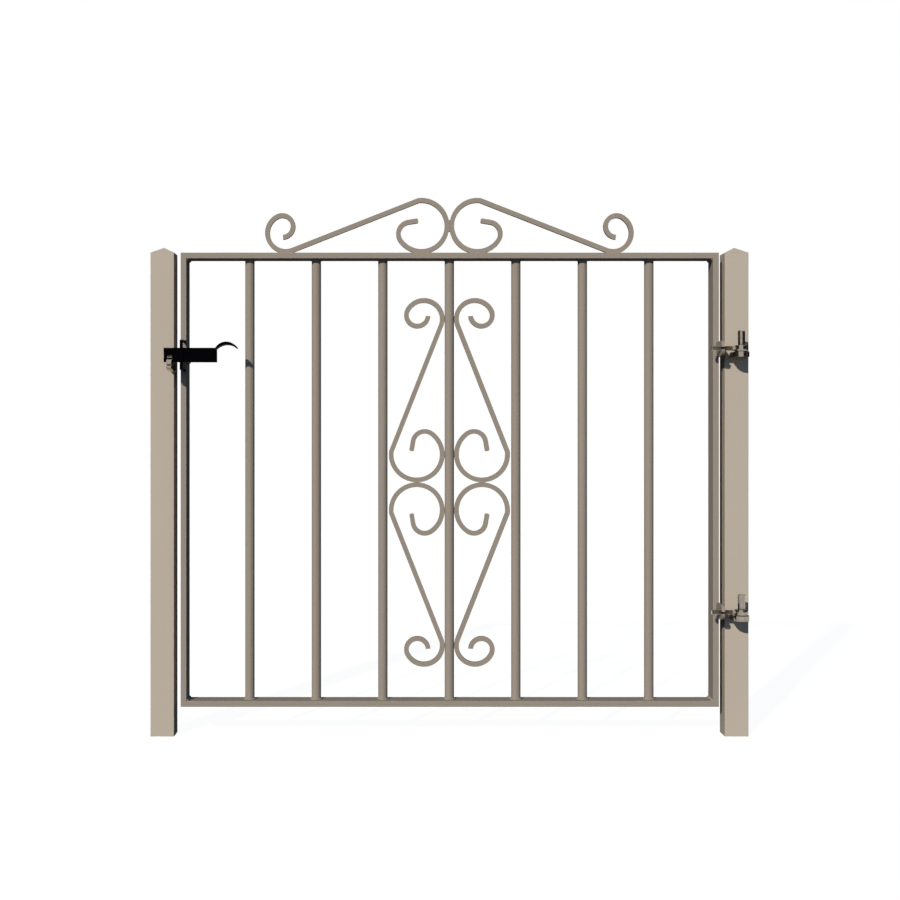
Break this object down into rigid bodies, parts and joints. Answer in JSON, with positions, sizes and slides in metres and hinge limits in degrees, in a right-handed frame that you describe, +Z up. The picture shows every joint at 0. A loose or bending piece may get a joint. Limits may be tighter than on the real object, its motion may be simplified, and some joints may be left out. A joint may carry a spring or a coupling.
{
  "type": "metal garden gate",
  "caption": "Single-leaf metal garden gate on square posts, with round upright bars, scrollwork, eye-bolt hinges and a lift latch.",
  "frame": {"origin": "middle of the hinge post's foot, at ground level", "axes": "+X to the right seen from the front, +Y away from the viewer, +Z up; the leaf is shut in the XZ plane"},
  "size_m": [1.011, 0.0943, 0.9131],
  "materials": {
    "post_paint": "satin grey-beige paint",
    "leaf_paint": "satin grey-beige paint",
    "zinc": "bright zinc plate",
    "black": "satin black paint"
  },
  "bodies": {
    "posts": {"hinge_post": "post_paint", "hinge_post_cap": "post_paint", "latch_post": "post_paint", "latch_post_cap": "post_paint", "upper_pin_bracket": "zinc", "upper_hinge_pin": "zinc", "lower_pin_bracket": "zinc", "lower_hinge_pin": "zinc", "latch_catch": "zinc"},
    "leaf": {"top_rail": "leaf_paint", "bottom_rail": "leaf_paint", "latch_stile": "leaf_paint", "hinge_stile": "leaf_paint", "infill_bar_1": "leaf_paint", "infill_bar_2": "leaf_paint", "infill_bar_3": "leaf_paint", "infill_bar_4": "leaf_paint", "infill_bar_5": "leaf_paint", "infill_bar_6": "leaf_paint", "infill_bar_7": "leaf_paint", "top_scroll_left": "leaf_paint", "top_scroll_right": "leaf_paint", "upper_scroll_left": "leaf_paint", "upper_scroll_right": "leaf_paint", "lower_scroll_left": "leaf_paint", "lower_scroll_right": "leaf_paint", "upper_eye_bolt": "zinc", "upper_hinge_lug": "leaf_paint", "lower_eye_bolt": "zinc", "lower_hinge_lug": "leaf_paint", "latch_carrier": "black", "latch_guide": "black", "latch_pivot": "black"},
    "latch_arm": {"latch_arm": "black"}
  },
  "joints": [
    {"name": "leaf_swing", "type": "hinge", "parent": "posts", "child": "leaf", "pos_m": [0, -0.054, 0.434], "axis": [0, 0, 1], "range_deg": [0, 170]},
    {"name": "latch_lift", "type": "hinge", "parent": "leaf", "child": "latch_arm", "pos_m": [-0.882, -0.053, 0.643], "axis": [0, 1, 0], "range_deg": [0, 11]}
  ]
}
